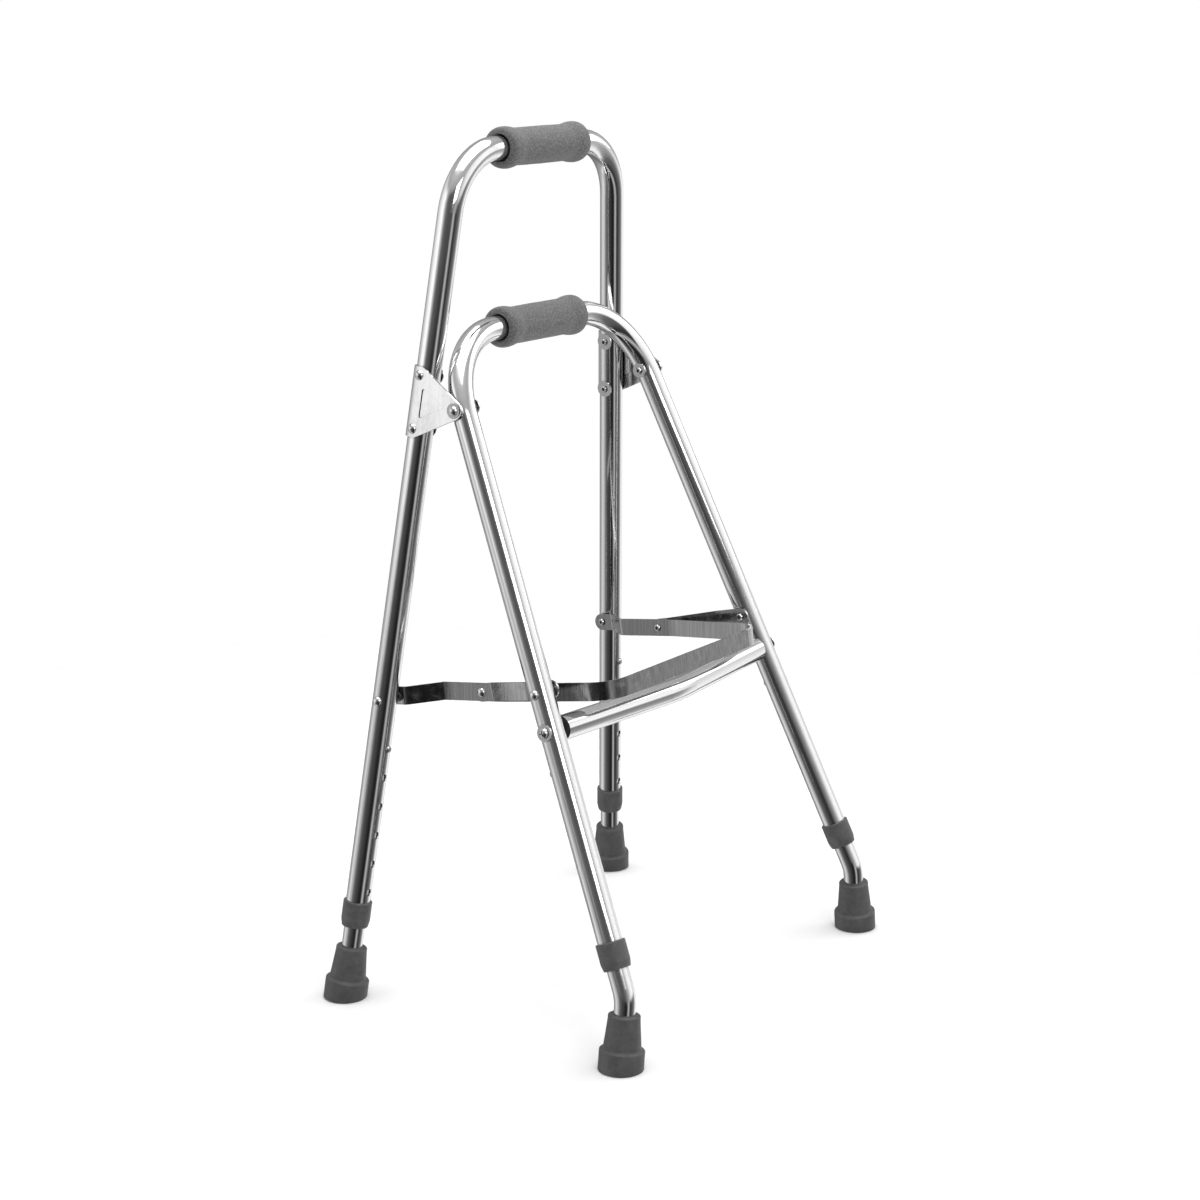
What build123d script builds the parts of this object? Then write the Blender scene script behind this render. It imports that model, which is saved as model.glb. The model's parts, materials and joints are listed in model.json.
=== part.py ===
"""One-hand folding walking frame (side walker): two bent tube frames hinged together.

Millimetres.  The origin is on the floor, midway between the feet.  X runs along the hand
grips (right is +X), +Y runs from the short frame to the tall frame and +Z is up.
"""
import os
from dataclasses import dataclass
from math import asin, cos, sin, sqrt

from build123d import *

os.makedirs("parts", exist_ok=True)


@dataclass
class Frame:
    """A bent tube frame lying in a leaning plane."""

    foot_x: float      # half width of the leg centre lines at the floor
    taper: float       # how much the half width shrinks per unit of height
    foot_y: float      # where the frame's plane meets the floor
    lean: float        # how far the plane moves along +Y per unit of height
    top: float         # height of the grip bar's centre line
    bend: float        # centre line radius of the two top bends
    tube_end: float    # height of the frame tube's lower ends
    button: float      # height of the snap button, legs fully in
    facing: int        # side the button is on: -1 is -Y, 1 is +Y


HINGE_Z = 545.0            # height of the hinge that joins the two frames
HINGE_STEP = 0.86          # how much nearer the middle the short legs are at that height
SHORT_TAPER = 0.1128
TALL = Frame(216.25, 0.128, 150.12, -0.0896, 765.0, 60.0, 70.5, 235.6, -1)
SHORT = Frame(
    TALL.foot_x - (TALL.taper - SHORT_TAPER) * HINGE_Z - HINGE_STEP,
    SHORT_TAPER, -176.95, 0.4322, 605.0, 80.0, 88.5, 246.0, 1,
)

# Tubes
TUBE_R = 11.1
TUBE_WALL = 1.2
SLIDER_GAP = 0.375         # radial play of a leg tube in its frame tube
SLIDER_R = TUBE_R - TUBE_WALL - SLIDER_GAP
SLIDER_WALL = 1.2
SLIDER_FOOT = 7.0          # height of a leg tube's lower end, inside its rubber tip
RUNNING = 0.05             # radial clearance of a turning or sliding fit

# Height adjustment
HOLES = 6
HOLE_PITCH = 27.2
HOLE_R = 3.5
BUTTON_R = 3.2
BUTTON_DEPTH = 3.3         # from a leg tube's bore to the button's base
BUTTON_BASE = SLIDER_R - SLIDER_WALL - BUTTON_DEPTH
BUTTON_PROUD = 2.3
SLIDER_ABOVE = 24.0        # leg tube left above its button
KNEE = 62.0                # height of the bend in a short frame's leg tube
KNEE_R = 38.0

# Collars and rubber tips
COLLAR_LENGTH = 24.0
COLLAR_WALL = 2.1
COLLAR_R = TUBE_R + COLLAR_WALL
COLLAR_LIP = 3.2
TIP_HEIGHT = 48.0
TIP_RING_R = 20.0
TIP_RING = 17.0
TIP_R = 16.7
TIP_WALL = 4.7
TIP_TOP_R = SLIDER_R + TIP_WALL
TIP_SINK = 2.0             # rubber left below the axis' floor point before the flat is cut

# Grips
GRIP_LENGTH = 120.0
GRIP_FOAM = 5.9
GRIP_RIM = 2.0
GRIP_R = TUBE_R + GRIP_FOAM
GRIP_END_R = GRIP_R + GRIP_RIM
GRIP_END = 16.0

# Rivets
SHANK_R = 2.4
PIVOT_R = 3.0
HEAD_R = 4.6
HEAD_H = 3.0
TAIL_R = 3.4
TAIL_H = 1.8
WASHER_R = 7.8
WASHER = 1.0

# Hinge plates
PLATE_RIVETS_Z = (571.0, 524.0)
PLATE = 2.0
PLATE_CORNER_R = 8.0
PLATE_BOSS_R = 6.8
PLATE_PANEL = 0.9          # depth of the pressed triangle
PLATE_END = 7.5            # plate beyond its end rivets where it wraps the tall leg

# Folding brace: a U-shaped bar on the tall legs, two links on the short legs
BRACE_TALL_Z = 279.5
BRACE_SHORT_Z = 310.0
BRACE_MID_Y = 42.35
BAR_SLOPE = 0.13           # rise of the bar per unit of -Y
BAR_HEIGHT = 16.5
STRAP = 2.0
STRAP_GAP = 0.3
BAR_ARM_X = 142.6
BAR_END_FLAT = 13.0        # flat of the bar beyond each tall pivot
BAR_ARM_START = 39.0       # where the arms' flats start, clear of the folding links' ends
BAR_CORNER_X = 126.0
BAR_LENGTH = 212.0         # from the tall pivots to the front of the U, along the bar
BAR_CORNER_R = 28.0
SPACER_R = 5.0

# Cross tube between the short legs
CROSS_Z = 278.0
CROSS_BOW = 15.0
CROSS_GAP = 1.6            # from the cross tube's square ends to the legs
PLUG_R = TUBE_R - TUBE_WALL - RUNNING
PLUG_LENGTH = 14.0
SCREW_R = 2.4
SCREW_WASHER_R = 7.5

SIDES = {"left": -1, "right": 1}
FRAMES = {"tall": TALL, "short": SHORT}
BASE_UP = (Align.CENTER, Align.CENTER, Align.MIN)


def on_leg(frame, height, side=1):
    """Point on a leg's centre line at a height."""
    x = side * (frame.foot_x - frame.taper * height)
    return Vector(x, frame.foot_y + frame.lean * height, height)


def up(frame, side=1):
    """Direction up a leg."""
    return Vector(-side * frame.taper, frame.lean, 1).normalized()


def outward(frame, side=1):
    """Sideways out of a leg, square to it."""
    return Vector(side, 0, frame.taper).normalized()


def button_way(frame, side=1):
    """The way a leg's snap button points, square to the leg."""
    way = Vector(0, frame.facing, 0)
    along = up(frame, side)
    return (way - along * way.dot(along)).normalized()


def leg_plane(frame, height, side=1):
    """Plane square to a leg, z up the leg."""
    return Plane(on_leg(frame, height, side), x_dir=outward(frame, side), z_dir=up(frame, side))


def crown(frame, height, way):
    """Half width of a leg's outermost (way 1) or innermost (way -1) line at a height."""
    return frame.foot_x - frame.taper * height + way * TUBE_R * sqrt(1 + frame.taper**2)


def strap_place(frame, height):
    """Half width of a strap that turns just inside a leg, clear of it by the strap gap."""
    clear = (BAR_HEIGHT / 2 + STRAP) * frame.taper + 2 * STRAP_GAP
    return crown(frame, height, -1) - clear - STRAP / 2 - STRAP_GAP / 2


def x_plane(point):
    """Plane through (y, z) with its z along +X, measured from the middle of the object."""
    return Plane((0, point[0], point[1]), x_dir=(0, 1, 0), z_dir=(1, 0, 0))


def pivot_on(frame, height):
    """(y, z) of a cross-wise pivot through both legs of a frame."""
    return (on_leg(frame, height).Y, height)


def hoop_plane(frame):
    """The plane a bent frame lies in: x along the grip bar, y up the slope."""
    return Plane((0, frame.foot_y, 0), x_dir=(1, 0, 0), z_dir=(0, -1, frame.lean))


def hoop_points(frame):
    """Corners of a bent frame's centre line in its own plane."""
    stretch = sqrt(1 + frame.lean**2)
    low = frame.foot_x - frame.taper * frame.tube_end
    high = frame.foot_x - frame.taper * frame.top
    foot = frame.tube_end * stretch
    head = frame.top * stretch
    return [(-low, foot), (-high, head), (high, head), (low, foot)]


def lathe(points, plane=Plane.XY):
    """Solid turned round a plane's z from (radius, height) points."""
    with BuildPart() as piece:
        with BuildSketch(Plane.XZ):
            with BuildLine():
                Polyline(*points, close=True)
            make_face()
        revolve(axis=Axis.Z)
    return plane * piece.part


def dome_points(base):
    """Arc of a round head standing on a base height: start, middle, top."""
    radius = (HEAD_R**2 + HEAD_H**2) / (2 * HEAD_H)
    half = asin(HEAD_R / radius) / 2
    middle = (radius * sin(half), base + HEAD_H - radius + radius * cos(half))
    return (HEAD_R, base), middle, (0, base + HEAD_H)


def dome(plane, base, root_depth=0):
    """Round head standing on a base height, with a cylinder below it to cut to its seat."""
    with BuildPart() as piece:
        with BuildSketch(Plane.XZ):
            with BuildLine():
                ThreePointArc(*dome_points(base))
                Polyline((0, base + HEAD_H), (0, base), (HEAD_R, base))
            make_face()
        revolve(axis=Axis.Z)
        if root_depth > 0:
            with Locations((0, 0, base - root_depth)):
                Cylinder(HEAD_R, root_depth, align=BASE_UP)
    return plane * piece.part


def tail(plane, base, top, shank_r):
    """Shank from base to top on a plane's z, with a rolled tail below base."""
    rim = base - TAIL_H
    outline = [(0, base), (1.3, base), (1.6, rim), (TAIL_R - 0.9, rim), (TAIL_R, rim + 0.9)]
    return lathe(outline + [(TAIL_R, base), (shank_r, base), (shank_r, top), (0, top)], plane)


def ring(plane, outer, inner, low, high):
    """Plain washer or tube on a plane's z."""
    return lathe([(inner, low), (outer, low), (outer, high), (inner, high)], plane)


HINGE = pivot_on(SHORT, HINGE_Z)
BRACE_TALL = pivot_on(TALL, BRACE_TALL_Z)
BRACE_SHORT = pivot_on(SHORT, BRACE_SHORT_Z)
BAR_END_X = strap_place(TALL, BRACE_TALL_Z)
LINK_END_X = strap_place(SHORT, BRACE_SHORT_Z)
CROSS_HALF = crown(SHORT, CROSS_Z, -1) - CROSS_GAP

# Frame tubes ---------------------------------------------------------------------------

frame_tubes = {}
for name, frame in FRAMES.items():
    with BuildPart() as tube:
        with BuildLine(hoop_plane(frame)) as path:
            FilletPolyline(*hoop_points(frame), radius=frame.bend)
        with BuildSketch(Plane(path.line @ 0, z_dir=path.line % 0)):
            Circle(TUBE_R)
            Circle(TUBE_R - TUBE_WALL, mode=Mode.SUBTRACT)
        sweep()
        for side in SIDES.values():
            for n in range(HOLES):
                spot = on_leg(frame, frame.button, side) - up(frame, side) * HOLE_PITCH * n
                with Locations(Plane(spot, z_dir=button_way(frame, side))):
                    Cylinder(HOLE_R, TUBE_R + 2, align=BASE_UP, mode=Mode.SUBTRACT)
    frame_tubes[name] = tube

with BuildPart() as tall_frame_tube:
    add(frame_tubes["tall"].part)
    for side in SIDES.values():
        for height in PLATE_RIVETS_Z:
            with Locations(Plane(on_leg(TALL, height, side), z_dir=outward(TALL, side))):
                Cylinder(SHANK_R + RUNNING, 3 * TUBE_R, mode=Mode.SUBTRACT)
    with Locations(x_plane(BRACE_TALL)):
        Cylinder(SHANK_R + RUNNING, 3 * TALL.foot_x, mode=Mode.SUBTRACT)

with BuildPart() as short_frame_tube:
    add(frame_tubes["short"].part)
    for side in SIDES.values():
        with Locations(Plane(on_leg(SHORT, CROSS_Z, side), z_dir=outward(SHORT, side))):
            Cylinder(SCREW_R + RUNNING, 3 * TUBE_R, mode=Mode.SUBTRACT)
    with Locations(x_plane(BRACE_SHORT)):
        Cylinder(SHANK_R + RUNNING, 3 * SHORT.foot_x, mode=Mode.SUBTRACT)
    with Locations(x_plane(HINGE)):
        Cylinder(PIVOT_R + RUNNING, 3 * SHORT.foot_x, mode=Mode.SUBTRACT)

# Foam grips ----------------------------------------------------------------------------

with BuildPart() as grip_blank:
    half = GRIP_LENGTH / 2
    with BuildSketch(Plane.XZ) as section:
        with BuildLine():
            Polyline(
                (-half, TUBE_R), (-half, GRIP_END_R), (GRIP_END - half, GRIP_END_R),
                (GRIP_END - half + 5, GRIP_R), (half - GRIP_END - 5, GRIP_R),
                (half - GRIP_END, GRIP_END_R), (half, GRIP_END_R), (half, TUBE_R), close=True,
            )
        make_face()
        fillet(section.vertices().filter_by(lambda v: v.Y > TUBE_R + 1), radius=2.6)
    revolve(axis=Axis.X)

grips = {}
for name, frame in FRAMES.items():
    with BuildPart() as grip:
        with Locations((0, frame.foot_y + frame.lean * frame.top, frame.top)):
            add(grip_blank.part)
    grips[name] = grip

# Hinge plates --------------------------------------------------------------------------

plate_plane = Plane(
    on_leg(TALL, sum(PLATE_RIVETS_Z) / 2) + outward(TALL) * TUBE_R,
    x_dir=up(TALL).cross(outward(TALL)),
    z_dir=outward(TALL),
)
pivot_plane = x_plane(HINGE)
pivot_x = plate_plane.to_local_coords(
    Vector(crown(TALL, HINGE_Z, 1), HINGE[0], HINGE_Z)
)
plate_spots = [
    plate_plane.to_local_coords(on_leg(TALL, height) + outward(TALL) * TUBE_R)
    for height in PLATE_RIVETS_Z
]
boss_out = crown(TALL, HINGE_Z, 1) + PLATE + 1.0

plate_low = min(p.Y for p in plate_spots) - PLATE_END
plate_high = max(p.Y for p in plate_spots) + PLATE_END
wrap_plane = Plane(
    plate_plane.from_local_coords((0, plate_low, -TUBE_R)), x_dir=outward(TALL), z_dir=up(TALL)
)

with BuildPart() as hinge_plate_right:
    with BuildSketch(plate_plane) as outline:
        with Locations(*[(p.X, p.Y) for p in plate_spots + [pivot_x]]):
            Circle(PLATE_CORNER_R)
        make_hull()
        Rectangle(
            4 * PLATE_CORNER_R, 4 * (plate_high - plate_low),
            align=(Align.MIN, Align.CENTER), mode=Mode.SUBTRACT,
        )
    extrude(amount=PLATE)
    with BuildSketch(plate_plane) as bulge:
        Polygon((-5.6, 14.5), (-5.6, -15), (pivot_x.X + 8.5, pivot_x.Y + 0.8), align=None)
        fillet(bulge.vertices(), radius=2.5)
    extrude(amount=-PLATE_PANEL)
    with BuildSketch(plate_plane.offset(PLATE)) as panel:
        Polygon((-5.2, 14), (-5.2, -14.5), (pivot_x.X + 9.5, pivot_x.Y + 0.8), align=None)
        fillet(panel.vertices(), radius=2)
    extrude(amount=-PLATE_PANEL, mode=Mode.SUBTRACT)
    with BuildSketch(wrap_plane):
        Circle(TUBE_R + PLATE)
        Circle(TUBE_R, mode=Mode.SUBTRACT)
        with Locations((-TUBE_R / 3, 0)):
            Rectangle(3 * TUBE_R, 3 * TUBE_R, align=(Align.MIN, Align.MIN), mode=Mode.INTERSECT)
    extrude(amount=plate_high - plate_low)
    with Locations(pivot_plane.offset(boss_out)):
        Cylinder(PLATE_BOSS_R, PLATE + 0.5, align=(Align.CENTER, Align.CENTER, Align.MAX))
    with Locations(pivot_plane):
        Cylinder(PIVOT_R + RUNNING, 3 * TALL.foot_x, mode=Mode.SUBTRACT)
    for height in PLATE_RIVETS_Z:
        with Locations(Plane(on_leg(TALL, height), z_dir=outward(TALL))):
            Cylinder(SHANK_R + RUNNING, 3 * TUBE_R, mode=Mode.SUBTRACT)

with BuildPart() as hinge_plate_left:
    mirror(hinge_plate_right.part, about=Plane.YZ)

with BuildPart() as hinge_plate_rivets:
    for height in PLATE_RIVETS_Z:
        seat = Plane(on_leg(TALL, height), z_dir=outward(TALL))
        add(dome(seat, TUBE_R + PLATE))
        add(tail(seat, -TUBE_R - WASHER, TUBE_R + PLATE, SHANK_R))
    mirror(about=Plane.YZ)

with BuildPart() as hinge_plate_washers:
    for height in PLATE_RIVETS_Z:
        seat = Plane(on_leg(TALL, height), z_dir=outward(TALL))
        add(ring(seat, WASHER_R, SHANK_R + RUNNING, -TUBE_R - WASHER, -TUBE_R))
    mirror(about=Plane.YZ)

pivot_washer_out = crown(SHORT, HINGE_Z, -1) - 2.4
with BuildPart() as hinge_pivot_rivets:
    add(dome(pivot_plane, boss_out))
    add(tail(pivot_plane, pivot_washer_out - WASHER, boss_out, PIVOT_R))
    mirror(about=Plane.YZ)

with BuildPart() as hinge_pivot_washers:
    bore = PIVOT_R + RUNNING
    add(ring(pivot_plane, WASHER_R - 0.8, bore, pivot_washer_out - WASHER, pivot_washer_out))
    mirror(about=Plane.YZ)

# Folding brace -------------------------------------------------------------------------

bar_plane = Plane((0, *BRACE_TALL), x_dir=(1, 0, 0), z_dir=(0, -BAR_SLOPE, -1))
mid_run = BRACE_TALL[0] - BRACE_MID_Y
mid_reach = mid_run * sqrt(1 + BAR_SLOPE**2)
brace_mid = (BRACE_MID_Y, BRACE_TALL[1] + BAR_SLOPE * mid_run)
link_run = BRACE_MID_Y - BRACE_SHORT[0]
link_rise = BRACE_SHORT[1] - brace_mid[1]
link_length = sqrt(link_run**2 + link_rise**2)
link_plane = Plane((0, *brace_mid), x_dir=(1, 0, 0), z_dir=(0, -link_rise, -link_run))
link_x = BAR_ARM_X + STRAP + STRAP_GAP
round_end = BAR_HEIGHT / 2

with BuildPart() as brace_bar:
    with BuildSketch(bar_plane):
        with BuildLine():
            run = [
                (BAR_END_X, -round_end), (BAR_END_X, BAR_END_FLAT), (BAR_ARM_X, BAR_ARM_START),
                (BAR_ARM_X, mid_reach + 18), (BAR_CORNER_X, BAR_LENGTH),
            ]
            bends = [5, 5, 60, BAR_CORNER_R]
            FilletPolyline(*run, *[(-x, y) for x, y in reversed(run)], radius=bends + bends[::-1])
        trace(line_width=STRAP)
    extrude(amount=round_end, both=True)
    fillet(brace_bar.edges().filter_by(Axis.X).sort_by(Axis.Y)[-4:], radius=round_end - 0.05)
    for spot in (BRACE_TALL, brace_mid):
        with Locations(x_plane(spot)):
            Cylinder(SHANK_R + RUNNING, 3 * BAR_END_X, mode=Mode.SUBTRACT)

with BuildPart() as brace_link_right:
    with BuildSketch(link_plane):
        with BuildLine():
            FilletPolyline(
                (link_x, -round_end), (link_x, 12), (LINK_END_X, 60),
                (LINK_END_X, link_length + round_end), radius=8,
            )
        trace(line_width=STRAP)
    extrude(amount=round_end, both=True)
    ends = brace_link_right.edges().filter_by(Axis.X).sort_by(Axis.Y)
    fillet(ends[:2] + ends[-2:], radius=round_end - 0.05)
    for spot in (BRACE_SHORT, brace_mid):
        with Locations(x_plane(spot)):
            Cylinder(SHANK_R + RUNNING, 3 * BAR_END_X, mode=Mode.SUBTRACT)

with BuildPart() as brace_link_left:
    mirror(brace_link_right.part, about=Plane.YZ)


def leg_pivot(frame, spot, strap_x):
    """Rivet and spacer that hang a strap on the inner side of both legs of a frame."""
    seat = crown(frame, spot[1], 1)
    wall = crown(frame, spot[1], -1)
    inner = strap_x - STRAP / 2 - STRAP_GAP
    outer = strap_x + STRAP / 2 + STRAP_GAP
    with BuildPart() as rivets:
        add(dome(x_plane(spot), seat + 0.3, 2.3))
        with Locations(leg_plane(frame, spot[1])):
            Cylinder(TUBE_R, 60, mode=Mode.SUBTRACT)
        add(tail(x_plane(spot), inner, seat, SHANK_R))
        mirror(about=Plane.YZ)
    with BuildPart() as spacers:
        add(ring(x_plane(spot), SPACER_R, SHANK_R + RUNNING, outer, wall + 2))
        with Locations(leg_plane(frame, spot[1])):
            Cylinder(TUBE_R, 60, mode=Mode.SUBTRACT)
        mirror(about=Plane.YZ)
    return rivets, spacers


brace_tall_rivets, brace_tall_spacers = leg_pivot(TALL, BRACE_TALL, BAR_END_X)
brace_short_rivets, brace_short_spacers = leg_pivot(SHORT, BRACE_SHORT, LINK_END_X)

link_out = link_x + STRAP / 2
with BuildPart() as brace_mid_head_right:
    low = link_x - STRAP / 2
    add(dome(x_plane(brace_mid), link_out))
    add(lathe([(0, low), (SHANK_R, low), (SHANK_R, link_out), (0, link_out)], x_plane(brace_mid)))

with BuildPart() as brace_mid_head_left:
    mirror(brace_mid_head_right.part, about=Plane.YZ)

with BuildPart() as brace_mid_tails:
    add(tail(x_plane(brace_mid), BAR_ARM_X - STRAP / 2, BAR_ARM_X + STRAP / 2, SHANK_R))
    mirror(about=Plane.YZ)

# Cross tube ----------------------------------------------------------------------------

cross_plane = Plane((0, on_leg(SHORT, CROSS_Z).Y, CROSS_Z))
screw_seat = Plane(on_leg(SHORT, CROSS_Z), x_dir=up(SHORT), z_dir=outward(SHORT))

with BuildPart() as cross_tube:
    with BuildLine(cross_plane) as path:
        FilletPolyline((-CROSS_HALF, 0), (0, -CROSS_BOW), (CROSS_HALF, 0), radius=200)
    with BuildSketch(Plane(path.line @ 0, z_dir=path.line % 0)):
        Circle(TUBE_R)
        Circle(TUBE_R - TUBE_WALL, mode=Mode.SUBTRACT)
    sweep()

with BuildPart() as cross_tube_plugs:
    with Locations(Plane(path.line @ 1, z_dir=-(path.line % 1)).offset(0.3)):
        Cylinder(PLUG_R, PLUG_LENGTH, align=BASE_UP)
    with Locations(screw_seat):
        Cylinder(SCREW_R + RUNNING, 90, mode=Mode.SUBTRACT)
    mirror(about=Plane.YZ)

with BuildPart() as cross_tube_screws:
    head = TUBE_R + WASHER
    add(dome(screw_seat, head + 0.8, 0.8))
    foot = -TUBE_R - PLUG_LENGTH
    add(lathe([(0, foot), (SCREW_R, foot), (SCREW_R, head), (0, head)], screw_seat))
    with Locations(screw_seat.offset(head + HEAD_H + 1)):
        Box(5.0, 1.1, 3.4, mode=Mode.SUBTRACT)
        Box(1.1, 5.0, 3.4, mode=Mode.SUBTRACT)
    mirror(about=Plane.YZ)

with BuildPart() as cross_tube_washers:
    add(ring(screw_seat, SCREW_WASHER_R, SCREW_R + RUNNING, TUBE_R, TUBE_R + WASHER))
    mirror(about=Plane.YZ)

# Legs: sliding tube, collar, rubber tip, snap button -------------------------------------

with BuildPart() as collar_blank:
    with BuildSketch(Plane.XZ) as section:
        with BuildLine():
            top = COLLAR_LENGTH - COLLAR_LIP
            Polyline(
                (SLIDER_R + 2 * RUNNING, -COLLAR_LIP), (COLLAR_R - 1.2, -COLLAR_LIP),
                (COLLAR_R, 3), (COLLAR_R, top), (TUBE_R, top), (TUBE_R, 0),
                (SLIDER_R + 2 * RUNNING, 0), close=True,
            )
        make_face()
        fillet(section.vertices().filter_by(lambda v: v.X > TUBE_R + 0.5), radius=0.8)
    revolve(axis=Axis.Z)

tip_floor = SLIDER_FOOT - 1.6
with BuildPart() as tip_blank:
    with BuildSketch(Plane.XZ) as section:
        with BuildLine():
            Polyline(
                (0, -TIP_SINK), (TIP_RING_R, -TIP_SINK), (TIP_RING_R, TIP_RING),
                (TIP_R, TIP_RING + 1.2), (TIP_TOP_R, TIP_HEIGHT - 4), (TIP_TOP_R, TIP_HEIGHT),
                (SLIDER_R, TIP_HEIGHT), (SLIDER_R, tip_floor), (0, tip_floor), close=True,
            )
        make_face()
        outer = section.vertices().filter_by(lambda v: v.X > SLIDER_R + 1 and v.Y > 0)
        fillet(outer, radius=1.3)
    revolve(axis=Axis.Z)

with BuildPart() as button_blank:
    with BuildSketch(Plane.XZ) as section:
        with BuildLine():
            tip = TUBE_R + BUTTON_PROUD
            Polyline(
                (0, BUTTON_BASE), (BUTTON_R + 1, BUTTON_BASE), (BUTTON_R + 1, BUTTON_BASE + 1.4),
                (BUTTON_R, BUTTON_BASE + 1.4), (BUTTON_R, tip), (0, tip), close=True,
            )
        make_face()
        fillet(section.vertices().filter_by(lambda v: v.X > 1 and v.Y > TUBE_R), radius=1.8)
    revolve(axis=Axis.Z)

with BuildPart() as clip_blank:
    with BuildSketch():
        with BuildLine():
            FilletPolyline(
                (-6, BUTTON_BASE - 0.35), (13, BUTTON_BASE - 1.2), (18.5, -1.5),
                (13, -7.1), (-8, -7.1), radius=2.2,
            )
        trace(line_width=0.6)
    extrude(amount=2.9, both=True)

pieces = {}
for frame_name, frame in FRAMES.items():
    for side_name, side in SIDES.items():
        leg = f"{frame_name}_{side_name}"
        way = button_way(frame, side)
        along = up(frame, side)
        button_spot = on_leg(frame, frame.button, side)
        head = button_spot + along * SLIDER_ABOVE
        knee = on_leg(frame, KNEE, side)
        if frame is SHORT:
            foot_way = Vector(-side * frame.taper, 0, 1).normalized()
        else:
            foot_way = along
        foot = knee - foot_way * ((KNEE - SLIDER_FOOT) / foot_way.Z)
        floor = knee - foot_way * (KNEE / foot_way.Z)

        with BuildPart() as slider:
            if frame is SHORT:
                bend_plane = Plane(knee, x_dir=foot_way, z_dir=foot_way.cross(along))
                local = [bend_plane.to_local_coords(p) for p in (foot, knee, head)]
                with BuildLine(bend_plane) as path:
                    FilletPolyline(*[(p.X, p.Y) for p in local], radius=KNEE_R)
            else:
                with BuildLine() as path:
                    Line(foot, head)
            with BuildSketch(Plane(path.line @ 0, z_dir=path.line % 0)):
                Circle(SLIDER_R)
                Circle(SLIDER_R - SLIDER_WALL, mode=Mode.SUBTRACT)
            sweep()
            with Locations(Plane(button_spot, z_dir=way)):
                Cylinder(BUTTON_R + RUNNING, TUBE_R, align=BASE_UP, mode=Mode.SUBTRACT)
        pieces[f"leg_tube_{leg}"] = slider

        with BuildPart() as collar:
            with Locations(leg_plane(frame, frame.tube_end, side)):
                add(collar_blank.part)
        pieces[f"leg_collar_{leg}"] = collar

        foot_plane = Plane(floor, z_dir=foot_way)
        with BuildPart() as tip:
            with Locations(foot_plane):
                add(tip_blank.part)
            with Locations((floor.X, floor.Y, 0)):
                Box(60, 60, 20, align=(Align.CENTER, Align.CENTER, Align.MAX), mode=Mode.SUBTRACT)
        pieces[f"foot_tip_{leg}"] = tip

        with BuildPart() as washer:
            add(ring(foot_plane, SLIDER_R - 0.3, 2.5, tip_floor, tip_floor + 1.5))
        pieces[f"tip_washer_{leg}"] = washer

        with BuildPart() as button:
            with Locations(Plane(button_spot, x_dir=along, z_dir=way)):
                add(button_blank.part)
        pieces[f"snap_button_{leg}"] = button

        with BuildPart() as clip:
            with Locations(Plane(button_spot, x_dir=along, z_dir=along.cross(way))):
                add(clip_blank.part)
        pieces[f"spring_clip_{leg}"] = clip

pieces.update(
    tall_frame_tube=tall_frame_tube,
    short_frame_tube=short_frame_tube,
    tall_grip=grips["tall"],
    short_grip=grips["short"],
    hinge_plate_left=hinge_plate_left,
    hinge_plate_right=hinge_plate_right,
    hinge_plate_rivets=hinge_plate_rivets,
    hinge_plate_washers=hinge_plate_washers,
    hinge_pivot_rivets=hinge_pivot_rivets,
    hinge_pivot_washers=hinge_pivot_washers,
    brace_bar=brace_bar,
    brace_link_left=brace_link_left,
    brace_link_right=brace_link_right,
    brace_tall_rivets=brace_tall_rivets,
    brace_tall_spacers=brace_tall_spacers,
    brace_short_rivets=brace_short_rivets,
    brace_short_spacers=brace_short_spacers,
    brace_mid_head_left=brace_mid_head_left,
    brace_mid_head_right=brace_mid_head_right,
    brace_mid_tails=brace_mid_tails,
    cross_tube=cross_tube,
    cross_tube_plugs=cross_tube_plugs,
    cross_tube_screws=cross_tube_screws,
    cross_tube_washers=cross_tube_washers,
)

for name, piece in pieces.items():
    piece.part.label = name
    export_step(piece.part, f"parts/{name}.step")
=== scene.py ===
# %% [markdown]
# # A folding side walker
# The object is a one-hand walking frame: two bent aluminium tube hoops hinged together, a
# folding steel brace, four telescoping legs with rubber tips, and two foam hand grips.
# The hard parts come from the CAD frame, with their places and joints already right. What is
# left to do here is the finish of each part, the soft foam grips, the light and the camera.

# %% Load the frame
import json
import math

import bmesh
import bpy
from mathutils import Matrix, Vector, noise


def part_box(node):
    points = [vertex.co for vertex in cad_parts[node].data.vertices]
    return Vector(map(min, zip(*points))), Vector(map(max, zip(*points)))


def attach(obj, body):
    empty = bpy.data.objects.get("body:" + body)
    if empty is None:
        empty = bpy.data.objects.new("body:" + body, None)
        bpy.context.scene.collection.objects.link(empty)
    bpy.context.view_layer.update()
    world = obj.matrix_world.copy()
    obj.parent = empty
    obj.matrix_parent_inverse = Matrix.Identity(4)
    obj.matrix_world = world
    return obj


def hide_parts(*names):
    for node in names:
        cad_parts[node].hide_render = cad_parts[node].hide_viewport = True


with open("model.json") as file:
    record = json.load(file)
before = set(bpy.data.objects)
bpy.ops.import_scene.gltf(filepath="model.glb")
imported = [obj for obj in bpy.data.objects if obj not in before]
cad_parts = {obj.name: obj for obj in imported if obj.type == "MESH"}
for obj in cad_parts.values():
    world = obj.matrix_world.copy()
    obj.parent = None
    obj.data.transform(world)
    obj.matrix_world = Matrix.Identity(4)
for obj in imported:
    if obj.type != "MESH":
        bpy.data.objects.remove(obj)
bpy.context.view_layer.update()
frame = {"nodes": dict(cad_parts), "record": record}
scene = bpy.context.scene

# %% [markdown]
# ## Camera
# A product view is taken from standing height, well back, with a long lens, so that upright
# tubes stay nearly parallel. A camera can be aimed with a constraint, but a place, a compass
# direction and a tilt are enough and leave nothing to update.

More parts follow.
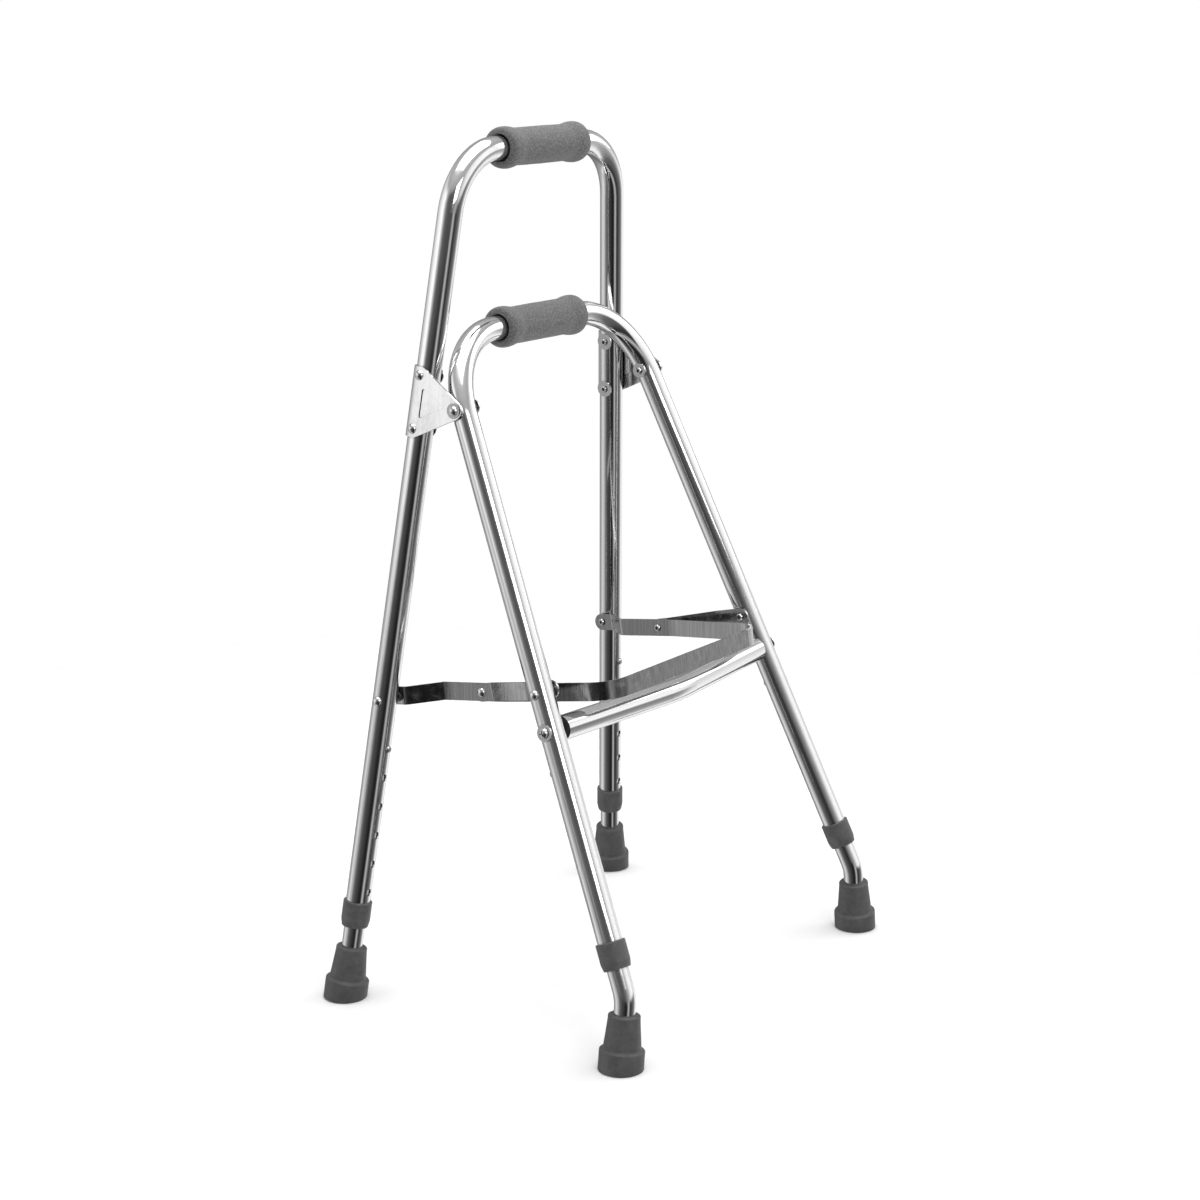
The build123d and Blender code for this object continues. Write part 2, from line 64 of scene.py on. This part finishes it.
# %% Camera
CAMERA_PLACE = Vector((-1.8934, -1.2872, 0.9056))
CAMERA_TURN = math.radians(34.496)
CAMERA_TILT = math.radians(-13.585)
LENS = 76.4

camera_data = bpy.data.cameras.new("camera")
camera_data.lens = LENS
camera_data.sensor_width = 36.0
camera = bpy.data.objects.new("camera", camera_data)
scene.collection.objects.link(camera)
camera.location = CAMERA_PLACE
look = Vector(
    (
        math.cos(CAMERA_TILT) * math.cos(CAMERA_TURN),
        math.cos(CAMERA_TILT) * math.sin(CAMERA_TURN),
        math.sin(CAMERA_TILT),
    )
)
camera.rotation_euler = look.to_track_quat("-Z", "Y").to_euler()
scene.camera = camera
print("camera is", round(CAMERA_PLACE.length, 2), "m from the origin")

# %% [markdown]
# ## A few helpers for shader nodes
# Every finish below is a short chain of nodes. Two small helpers keep the chains readable:
# one adds a node and sets its sockets by name, the other joins an output to an input.


# %% Node helpers
def add_node(tree, kind, settings=None, **sockets):
    """New node in a tree, with properties from settings and input values by socket name."""
    node = tree.nodes.new(kind)
    for key, value in (settings or {}).items():
        setattr(node, key, value)
    for key, value in sockets.items():
        node.inputs[key.replace("_", " ")].default_value = value
    return node


def join(tree, source, output, target, entry):
    """Link an output socket to an input socket."""
    tree.links.new(source.outputs[output], target.inputs[entry])


def ramp(tree, stops, smooth="LINEAR"):
    """Colour ramp node from (place, grey) stops."""
    node = tree.nodes.new("ShaderNodeValToRGB")
    node.color_ramp.interpolation = smooth
    elements = node.color_ramp.elements
    while len(elements) < len(stops):
        elements.new(0.5)
    for element, (place, grey) in zip(elements, stops):
        element.position = place
        element.color = (grey, grey, grey, 1.0)
    return node


# %% [markdown]
# ## Studio
# Polished tube has hardly any colour of its own: it shows the room. In a studio the room is a
# ring of white cards and black flags, and they become the long light and dark streaks on
# every leg. The cards could be real panels, but a sky shader that changes with compass
# direction gives the same streaks from every side with no panel getting in a camera's way.

# %% World of cards and flags
world = bpy.data.worlds.new("studio")
scene.world = world
world.use_nodes = True
sky = world.node_tree
sky.nodes.clear()
sky_out = add_node(sky, "ShaderNodeOutputWorld")
direction = add_node(sky, "ShaderNodeTexCoord")
split = add_node(sky, "ShaderNodeSeparateXYZ")
join(sky, direction, "Generated", split, "Vector")
compass = add_node(sky, "ShaderNodeMath", {"operation": "ARCTAN2"})
join(sky, split, "Y", compass, 0)
join(sky, split, "X", compass, 1)
turns = add_node(sky, "ShaderNodeMapRange")
turns.inputs["From Min"].default_value = -math.pi
turns.inputs["From Max"].default_value = math.pi
join(sky, compass, "Value", turns, "Value")
low_cards = ramp(
    sky,
    [
        (0.000, 0.08), (0.064, 0.04), (0.128, 0.01), (0.160, 0.06), (0.193, 0.55),
        (0.220, 0.30), (0.240, 0.04), (0.270, 0.04), (0.310, 0.11), (0.350, 0.14),
        (0.400, 0.40), (0.440, 1.00), (0.530, 1.00), (0.575, 0.60), (0.596, 0.15),
        (0.640, 0.20), (0.760, 0.45), (0.820, 0.85), (0.860, 0.60), (0.903, 0.42),
        (0.940, 0.16), (1.000, 0.08),
    ],
)
join(sky, turns, "Result", low_cards, "Fac")
high_cards = ramp(
    sky,
    [
        (0.000, 0.14), (0.064, 0.09), (0.110, 0.11), (0.170, 0.22), (0.230, 0.50),
        (0.290, 1.00), (0.360, 1.15), (0.430, 0.80), (0.500, 0.55), (0.590, 0.25),
        (0.680, 0.40), (0.780, 0.80), (0.850, 1.10), (0.905, 1.20), (0.950, 0.50),
        (1.000, 0.14),
    ],
)
join(sky, turns, "Result", high_cards, "Fac")


def band(low, high):
    """0 to 1 as the direction rises from one sine of elevation to another."""
    rise = add_node(sky, "ShaderNodeMapRange", {"interpolation_type": "SMOOTHSTEP"})
    rise.inputs["From Min"].default_value = low
    rise.inputs["From Max"].default_value = high
    join(sky, split, "Z", rise, "Value")
    return rise


level = band(-0.10, 0.06)
cards = add_node(sky, "ShaderNodeMix", {"data_type": "RGBA"})
join(sky, level, "Result", cards, 0)
join(sky, low_cards, "Color", cards, 6)
join(sky, high_cards, "Color", cards, 7)
height = band(0.40, 0.62)
zenith = ramp(sky, [(0.60, 0.42), (0.80, 0.55), (0.93, 1.15)])
join(sky, split, "Z", zenith, "Fac")
overhead = add_node(sky, "ShaderNodeMix", {"data_type": "RGBA"})
join(sky, zenith, "Color", overhead, 7)
join(sky, height, "Result", overhead, 0)
join(sky, cards, 2, overhead, 6)
card_light = add_node(sky, "ShaderNodeBackground", Strength=1.0)
join(sky, overhead, 2, card_light, "Color")
white = add_node(sky, "ShaderNodeBackground", Strength=1.0)
white.inputs["Color"].default_value = (1.0, 1.0, 1.0, 1.0)
rays = add_node(sky, "ShaderNodeLightPath")
pick = add_node(sky, "ShaderNodeMixShader")
join(sky, rays, "Is Camera Ray", pick, 0)
join(sky, card_light, "Background", pick, 1)
join(sky, white, "Background", pick, 2)
join(sky, pick, "Shader", sky_out, "Surface")
scene.view_settings.view_transform = "Standard"
print("cards and flags:", len(low_cards.color_ramp.elements), len(high_cards.color_ramp.elements))


# %% [markdown]
# ## Soft lights
# Large area lights give the rubber and foam their shape and put a faint, wide shadow round
# each foot. A sun would draw hard lines that a light tent never makes.


# %% Lights
def soft_light(name, place, size, power):
    """Square area light aimed at the middle of the object."""
    data = bpy.data.lights.new(name, "AREA")
    data.shape = "SQUARE"
    data.size = size
    data.energy = power
    lamp = bpy.data.objects.new(name, data)
    scene.collection.objects.link(lamp)
    lamp.location = place
    aim = Vector((0.0, 0.0, 0.35)) - Vector(place)
    lamp.rotation_euler = aim.to_track_quat("-Z", "Y").to_euler()
    return lamp


soft_light("top_light", (0.1, 0.0, 2.6), 2.2, 36.0)
soft_light("left_light", (-1.4, -2.3, 1.7), 1.2, 14.0)
soft_light("right_light", (2.2, -1.0, 1.5), 1.2, 10.0)

# %% [markdown]
# ## Floor
# The object stands on plain white paper. A disc just larger than the base catches the soft
# shadows of the feet and the light that bounces up under the tubes. It is hidden from mirror
# rays, or its white would wash out the streaks in the lower legs.

# %% Floor
FLOOR_RADIUS = 1.3
floor_mesh = bpy.data.meshes.new("floor")
disc = bmesh.new()
bmesh.ops.create_circle(disc, cap_ends=True, segments=96, radius=FLOOR_RADIUS)
disc.to_mesh(floor_mesh)
disc.free()
floor = bpy.data.objects.new("floor", floor_mesh)
floor.location.z = -0.0004
scene.collection.objects.link(floor)
paper = bpy.data.materials.new("paper")
paper.use_nodes = True
paper_nodes = paper.node_tree
paper_skin = paper_nodes.nodes["Principled BSDF"]
paper_skin.inputs["Roughness"].default_value = 0.9
paper_skin.inputs["Specular IOR Level"].default_value = 0.1
paper_grain = add_node(paper_nodes, "ShaderNodeTexNoise", Scale=60.0, Detail=3.0)
paper_tone = ramp(paper_nodes, [(0.3, 0.94), (0.7, 0.97)])
join(paper_nodes, paper_grain, "Fac", paper_tone, "Fac")
join(paper_nodes, paper_tone, "Color", paper_skin, "Base Color")
floor_mesh.materials.append(paper)
floor.visible_glossy = False
print("floor radius", FLOOR_RADIUS)

# %% [markdown]
# ## Shared surface effects
# Four effects turn up on more than one part, so each is a node group with named sockets:
# drawn lines along metal, fine grain on moulded parts, a painted highlight along edges, and soft
# handling marks.
# They give out only masks and heights, and each material decides what to do with them.


# %% Node groups
def effect_group(name, inputs, outputs):
    """Empty shader group with float inputs (name: default) and float outputs."""
    group = bpy.data.node_groups.new(name, "ShaderNodeTree")
    for socket, value in inputs.items():
        entry = group.interface.new_socket(socket, in_out="INPUT", socket_type="NodeSocketFloat")
        entry.default_value = value
    for socket in outputs:
        group.interface.new_socket(socket, in_out="OUTPUT", socket_type="NodeSocketFloat")
    return group, group.nodes.new("NodeGroupInput"), group.nodes.new("NodeGroupOutput")


def make_drawn_lines():
    """Fine lines left along Z by drawing and polishing a tube or strip."""
    group, entry, exit_ = effect_group("drawn_lines", {"Scale": 900.0, "Stretch": 0.02}, ["Lines"])
    place = add_node(group, "ShaderNodeTexCoord")
    squeeze = add_node(group, "ShaderNodeCombineXYZ", X=1.0, Y=1.0)
    join(group, entry, "Stretch", squeeze, "Z")
    scaled = add_node(group, "ShaderNodeVectorMath", {"operation": "MULTIPLY"})
    join(group, place, "Object", scaled, 0)
    join(group, squeeze, "Vector", scaled, 1)
    lines = add_node(group, "ShaderNodeTexNoise", Detail=4.0, Roughness=0.65)
    join(group, scaled, "Vector", lines, "Vector")
    join(group, entry, "Scale", lines, "Scale")
    join(group, lines, "Fac", exit_, "Lines")
    return group


def make_marks():
    """Soft cloudy patches where hands and cloths have dulled a surface."""
    group, entry, exit_ = effect_group("marks", {"Scale": 30.0, "Amount": 0.5}, ["Mask"])
    place = add_node(group, "ShaderNodeTexCoord")
    cloud = add_node(group, "ShaderNodeTexNoise", Detail=6.0, Roughness=0.7)
    join(group, place, "Object", cloud, "Vector")
    join(group, entry, "Scale", cloud, "Scale")
    edge = add_node(group, "ShaderNodeMapRange", {"interpolation_type": "SMOOTHSTEP"})
    edge.inputs["From Min"].default_value = 0.42
    edge.inputs["From Max"].default_value = 0.72
    join(group, cloud, "Fac", edge, "Value")
    strength = add_node(group, "ShaderNodeMath", {"operation": "MULTIPLY"})
    join(group, edge, "Result", strength, 0)
    join(group, entry, "Amount", strength, 1)
    join(group, strength, "Value", exit_, "Mask")
    return group


def make_edge_highlight():
    """Mask of a painted highlight along each edge: where a bevelled normal turns away from the
    true one.
    """
    group, entry, exit_ = effect_group("edge_highlight", {"Width": 0.0012, "Gain": 6.0}, ["Mask"])
    true_normal = add_node(group, "ShaderNodeNewGeometry")
    rounded = add_node(group, "ShaderNodeBevel")
    rounded.samples = 6
    join(group, entry, "Width", rounded, "Radius")
    along = add_node(group, "ShaderNodeVectorMath", {"operation": "DOT_PRODUCT"})
    join(group, true_normal, "Normal", along, 0)
    join(group, rounded, "Normal", along, 1)
    turned = add_node(group, "ShaderNodeMath", {"operation": "SUBTRACT"})
    turned.inputs[0].default_value = 1.0
    join(group, along, "Value", turned, 1)
    strength = add_node(group, "ShaderNodeMath", {"operation": "MULTIPLY", "use_clamp": True})
    join(group, turned, "Value", strength, 0)
    join(group, entry, "Gain", strength, 1)
    join(group, strength, "Value", exit_, "Mask")
    return group


def make_grain():
    """Fine pebbled grain of a moulded part, with a cloudy tone that varies at random."""
    group, entry, exit_ = effect_group("grain", {"Scale": 1800.0}, ["Height", "Tone"])
    place = add_node(group, "ShaderNodeTexCoord")
    cells = add_node(group, "ShaderNodeTexVoronoi", {"feature": "SMOOTH_F1"}, Smoothness=0.6)
    join(group, place, "Object", cells, "Vector")
    join(group, entry, "Scale", cells, "Scale")
    cloud = add_node(group, "ShaderNodeTexNoise", Detail=3.0, Scale=260.0)
    join(group, place, "Object", cloud, "Vector")
    join(group, cells, "Distance", exit_, "Height")
    join(group, cloud, "Fac", exit_, "Tone")
    return group


GROUPS = {
    "lines": make_drawn_lines(),
    "marks": make_marks(),
    "grain": make_grain(),
    "edge_highlight": make_edge_highlight(),
}
print("groups:", ", ".join(g.name for g in GROUPS.values()))


def effect(tree, key, **values):
    """One of the shared groups placed in a material."""
    node = tree.nodes.new("ShaderNodeGroup")
    node.node_tree = GROUPS[key]
    for socket, value in values.items():
        node.inputs[socket].default_value = value
    return node


def spread(tree, source, output, low, high):
    """Map a 0 to 1 mask onto the range low to high."""
    node = add_node(tree, "ShaderNodeMapRange")
    node.inputs["To Min"].default_value = low
    node.inputs["To Max"].default_value = high
    join(tree, source, output, node, "Value")
    return node


# %% [markdown]
# ## Metal finishes
# All the metal is the same recipe with other numbers: a metallic surface whose roughness
# rises in the handling marks, a faint bump from the drawn lines, and a small change of tone.
# The tubes are nearly a mirror, the plates a little softer, the brace straps darker and
# mottled, because plated mild steel takes a duller shine than polished aluminium. Painted
# shade: an occlusion mask darkens the metal in seams and round rivet heads, where light hardly
# reaches.


# %% Metals
SEAM_WIDTH = 0.003


def metal(name, dark, light, smooth, dull, lines, marks, bump):
    """Metallic material: tone between dark and light, roughness between smooth and dull."""
    material = bpy.data.materials.new(name)
    material.use_nodes = True
    tree = material.node_tree
    skin = tree.nodes["Principled BSDF"]
    skin.inputs["Metallic"].default_value = 1.0
    drawn = effect(tree, "lines", Scale=lines)
    worn = effect(tree, "marks", Scale=marks, Amount=1.0)
    tone = ramp(tree, [(0.25, dark), (0.75, light)])
    join(tree, drawn, "Lines", tone, "Fac")
    # Painted shade: the occlusion mask darkens the tone in seams and round rivet heads.
    seam_occlusion = add_node(tree, "ShaderNodeAmbientOcclusion", {"samples": 8}, Distance=SEAM_WIDTH)
    join(tree, tone, "Color", seam_occlusion, "Color")
    seam_shade = ramp(tree, [(0.35, 0.35), (0.85, 1.0)])
    join(tree, seam_occlusion, "AO", seam_shade, "Fac")
    seam_shaded_tone = add_node(tree, "ShaderNodeMix", {"data_type": "RGBA", "blend_type": "MULTIPLY"})
    seam_shaded_tone.inputs[0].default_value = 1.0
    join(tree, tone, "Color", seam_shaded_tone, 6)
    join(tree, seam_shade, "Color", seam_shaded_tone, 7)
    join(tree, seam_shaded_tone, 2, skin, "Base Color")
    rough = spread(tree, worn, "Mask", smooth, dull)
    join(tree, rough, "Result", skin, "Roughness")
    relief = add_node(tree, "ShaderNodeBump", Strength=bump, Distance=0.0002)
    join(tree, drawn, "Lines", relief, "Height")
    join(tree, relief, "Normal", skin, "Normal")
    return material


METALS = {
    "tube": metal("polished_tube", 0.80, 0.90, 0.07, 0.15, 700.0, 26.0, 0.10),
    "leg_tube": metal("polished_leg_tube", 0.78, 0.88, 0.08, 0.18, 700.0, 34.0, 0.10),
    "plate": metal("plated_pressing", 0.70, 0.86, 0.14, 0.26, 420.0, 60.0, 0.20),
    "strap": metal("plated_strap", 0.30, 0.52, 0.12, 0.30, 520.0, 120.0, 0.35),
    "rivet": metal("plated_rivet", 0.62, 0.80, 0.12, 0.26, 900.0, 240.0, 0.15),
    "button_steel": metal("spring_steel", 0.50, 0.66, 0.16, 0.30, 900.0, 240.0, 0.15),
}
print("metals:", len(METALS))

# %% [markdown]
# ## Rubber and plastic
# The tips and collars are moulded in the same dull grey. Moulded rubber isn't one flat tone:
# the grain scatters light, and along each edge the colour is painted paler as a highlight where
# the rubber catches the light. A bevelled normal leaves the true one near an edge, so the angle
# between them marks where to paint the highlight.


# %% Moulded parts
def moulded(name, dark, light, rough, grain, bump, marks):
    """Grey moulded rubber or plastic with pebbled grain and dusty patches."""
    material = bpy.data.materials.new(name)
    material.use_nodes = True
    tree = material.node_tree
    skin = tree.nodes["Principled BSDF"]
    skin.inputs["Specular IOR Level"].default_value = 0.45
    pebble = effect(tree, "grain", Scale=grain)
    dust = effect(tree, "marks", Scale=marks, Amount=0.7)
    tone = ramp(tree, [(0.3, dark), (0.7, light)])
    join(tree, pebble, "Tone", tone, "Fac")
    dusty = add_node(tree, "ShaderNodeMix", {"data_type": "RGBA"})
    dusty.inputs[7].default_value = (light * 1.35, light * 1.35, light * 1.35, 1.0)
    join(tree, dust, "Mask", dusty, 0)
    join(tree, tone, "Color", dusty, 6)
    # Painted highlight: the colour is made paler along each edge, where the rubber catches the
    # light.
    edge_highlight_tone = add_node(tree, "ShaderNodeMix", {"data_type": "RGBA"})
    edge_highlight_tone.inputs[7].default_value = (light * 2.2, light * 2.2, light * 2.2, 1.0)
    edge_highlight = effect(tree, "edge_highlight")
    join(tree, edge_highlight, "Mask", edge_highlight_tone, 0)
    join(tree, dusty, 2, edge_highlight_tone, 6)
    join(tree, edge_highlight_tone, 2, skin, "Base Color")
    worn = spread(tree, dust, "Mask", rough, min(1.0, rough + 0.2))
    join(tree, worn, "Result", skin, "Roughness")
    relief = add_node(tree, "ShaderNodeBump", Strength=bump, Distance=0.0003)
    join(tree, pebble, "Height", relief, "Height")
    join(tree, relief, "Normal", skin, "Normal")
    return material


MOULDED = {
    "tip_rubber": moulded("tip_rubber", 0.062, 0.082, 0.50, 1500.0, 0.25, 45.0),
    "collar_plastic": moulded("collar_plastic", 0.068, 0.088, 0.42, 2200.0, 0.15, 60.0),
    "plug_plastic": moulded("plug_plastic", 0.030, 0.040, 0.50, 2200.0, 0.15, 60.0),
}

# %% [markdown]
# ## Finish every hard part
# The record says which slot each part belongs to, so one loop gives every part its material.

# %% Assign the finishes
FINISHES = {**METALS, **MOULDED}
slot_of = {s["node"]: s["material_slot"] for s in frame["record"]["subparts"]}
for node, thing in frame["nodes"].items():
    finish = FINISHES.get(slot_of[node])
    if finish is None:
        continue
    for place in thing.material_slots:
        place.material = finish
print("finished nodes:", sum(slot_of[n] in FINISHES for n in frame["nodes"]))

# %% [markdown]
# ## Foam grips
# Each grip is a sleeve of closed-cell foam pushed over the tube. It swells into a thick ring
# at both ends, and its cut end faces roll over the edge. A lathe profile gives the shape; the
# foam's skin then gets small, slow swellings, so that it isn't a turned cylinder. A cloth
# simulation would add nothing to a sleeve that is tight on its tube.

# %% Foam material
FOAM_PORES = 1100.0  # pores per metre
foam = bpy.data.materials.new("grip_foam")
foam.use_nodes = True
foam_tree = foam.node_tree
foam_skin = foam_tree.nodes["Principled BSDF"]
foam_skin.inputs["Roughness"].default_value = 0.92
foam_skin.inputs["Specular IOR Level"].default_value = 0.2
foam_skin.inputs["Sheen Weight"].default_value = 0.15
foam_place = add_node(foam_tree, "ShaderNodeTexCoord")
pores = add_node(foam_tree, "ShaderNodeTexVoronoi", {"feature": "F1"}, Scale=FOAM_PORES)
join(foam_tree, foam_place, "Object", pores, "Vector")
speckle = add_node(foam_tree, "ShaderNodeTexNoise", Scale=700.0, Detail=2.0)
join(foam_tree, foam_place, "Object", speckle, "Vector")
foam_tone = ramp(foam_tree, [(0.35, 0.120), (0.5, 0.175), (0.68, 0.235)])
join(foam_tree, speckle, "Fac", foam_tone, "Fac")
# Painted shade: the colour darkens in the hollow of each pore.
pore_shade = ramp(foam_tree, [(0.0, 1.0), (0.32, 0.0)])
join(foam_tree, pores, "Distance", pore_shade, "Fac")
foam_mix = add_node(foam_tree, "ShaderNodeMix", {"data_type": "RGBA"})
foam_mix.inputs[7].default_value = (0.085, 0.085, 0.09, 1.0)
join(foam_tree, pore_shade, "Color", foam_mix, 0)
join(foam_tree, foam_tone, "Color", foam_mix, 6)
join(foam_tree, foam_mix, 2, foam_skin, "Base Color")
foam_bump = add_node(foam_tree, "ShaderNodeBump", Strength=0.45, Distance=0.0005)
join(foam_tree, pores, "Distance", foam_bump, "Height")
join(foam_tree, foam_bump, "Normal", foam_skin, "Normal")
print("foam pore size about", round(1000 / FOAM_PORES, 1), "mm")


# %% Grip shape
TUBE_RADIUS = 0.01112
RIM_STEP = 0.002
GRIP_TURNS = 64
FOAM_SKIN_RADIUS = 0.0125  # points further out than this swell, and those on the tube stay
SWELL_SIZE = 60.0
SWELL_HEIGHT = 0.00025


def grip_profile(half, bore, waist, rim):
    """(x, radius) points of one grip from end to end, outside only, rounded at the rims."""
    points = [(-half + 0.0012, bore), (-half, bore + 0.0016), (-half, rim - 0.0042)]
    points += [(-half + 0.0012, rim - 0.0012), (-half + 0.0044, rim), (-half + 0.0105, rim)]
    points += [(-half + 0.0155, rim - 0.0008), (-half + 0.0195, waist + 0.0003)]
    points += [(-half + 0.0250, waist), (-half * 0.3, waist + 0.0002)]
    return points + [(-x, r) for x, r in reversed(points)]


def make_grip(node, body):
    """Foam sleeve in place of a CAD grip, swollen a little here and there."""
    low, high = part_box(node)
    middle = (low + high) / 2
    half = (high.x - low.x) / 2
    rim = (high.z - low.z) / 2
    profile = grip_profile(half, TUBE_RADIUS, rim - RIM_STEP, rim)
    shape = bmesh.new()
    rings = []
    for x, radius in profile:
        ring = []
        for n in range(GRIP_TURNS):
            angle = 2 * math.pi * n / GRIP_TURNS
            spot = Vector((x, radius * math.cos(angle), radius * math.sin(angle)))
            ring.append(shape.verts.new(middle + spot))
        rings.append(ring)
    for a, b in zip(rings, rings[1:]):
        for n in range(GRIP_TURNS):
            m = (n + 1) % GRIP_TURNS
            shape.faces.new((a[n], b[n], b[m], a[m]))
    first, last = rings[0], rings[-1]
    for n in range(GRIP_TURNS):
        m = (n + 1) % GRIP_TURNS
        shape.faces.new((last[n], first[n], first[m], last[m]))
    bmesh.ops.recalc_face_normals(shape, faces=shape.faces)
    mesh = bpy.data.meshes.new(node + "_foam")
    shape.to_mesh(mesh)
    shape.free()
    mesh.shade_smooth()
    grip = bpy.data.objects.new(node + "_foam", mesh)
    scene.collection.objects.link(grip)
    smooth = grip.modifiers.new("smooth", "SUBSURF")
    smooth.levels = 2
    smooth.render_levels = 2
    bpy.context.view_layer.objects.active = grip
    grip.select_set(True)
    bpy.ops.object.modifier_apply(modifier="smooth")
    grip.select_set(False)
    for vertex in grip.data.vertices:
        out = Vector((0.0, vertex.co.y - middle.y, vertex.co.z - middle.z))
        if out.length > FOAM_SKIN_RADIUS:
            swell = noise.noise(vertex.co * SWELL_SIZE) * SWELL_HEIGHT
            vertex.co += out.normalized() * (swell - SWELL_HEIGHT)
    grip.data.materials.append(foam)
    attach(grip, body)
    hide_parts(node)
    print(grip.name, "points:", len(grip.data.vertices))
    return grip


make_grip("tall_grip", "tall_frame")
make_grip("short_grip", "short_frame")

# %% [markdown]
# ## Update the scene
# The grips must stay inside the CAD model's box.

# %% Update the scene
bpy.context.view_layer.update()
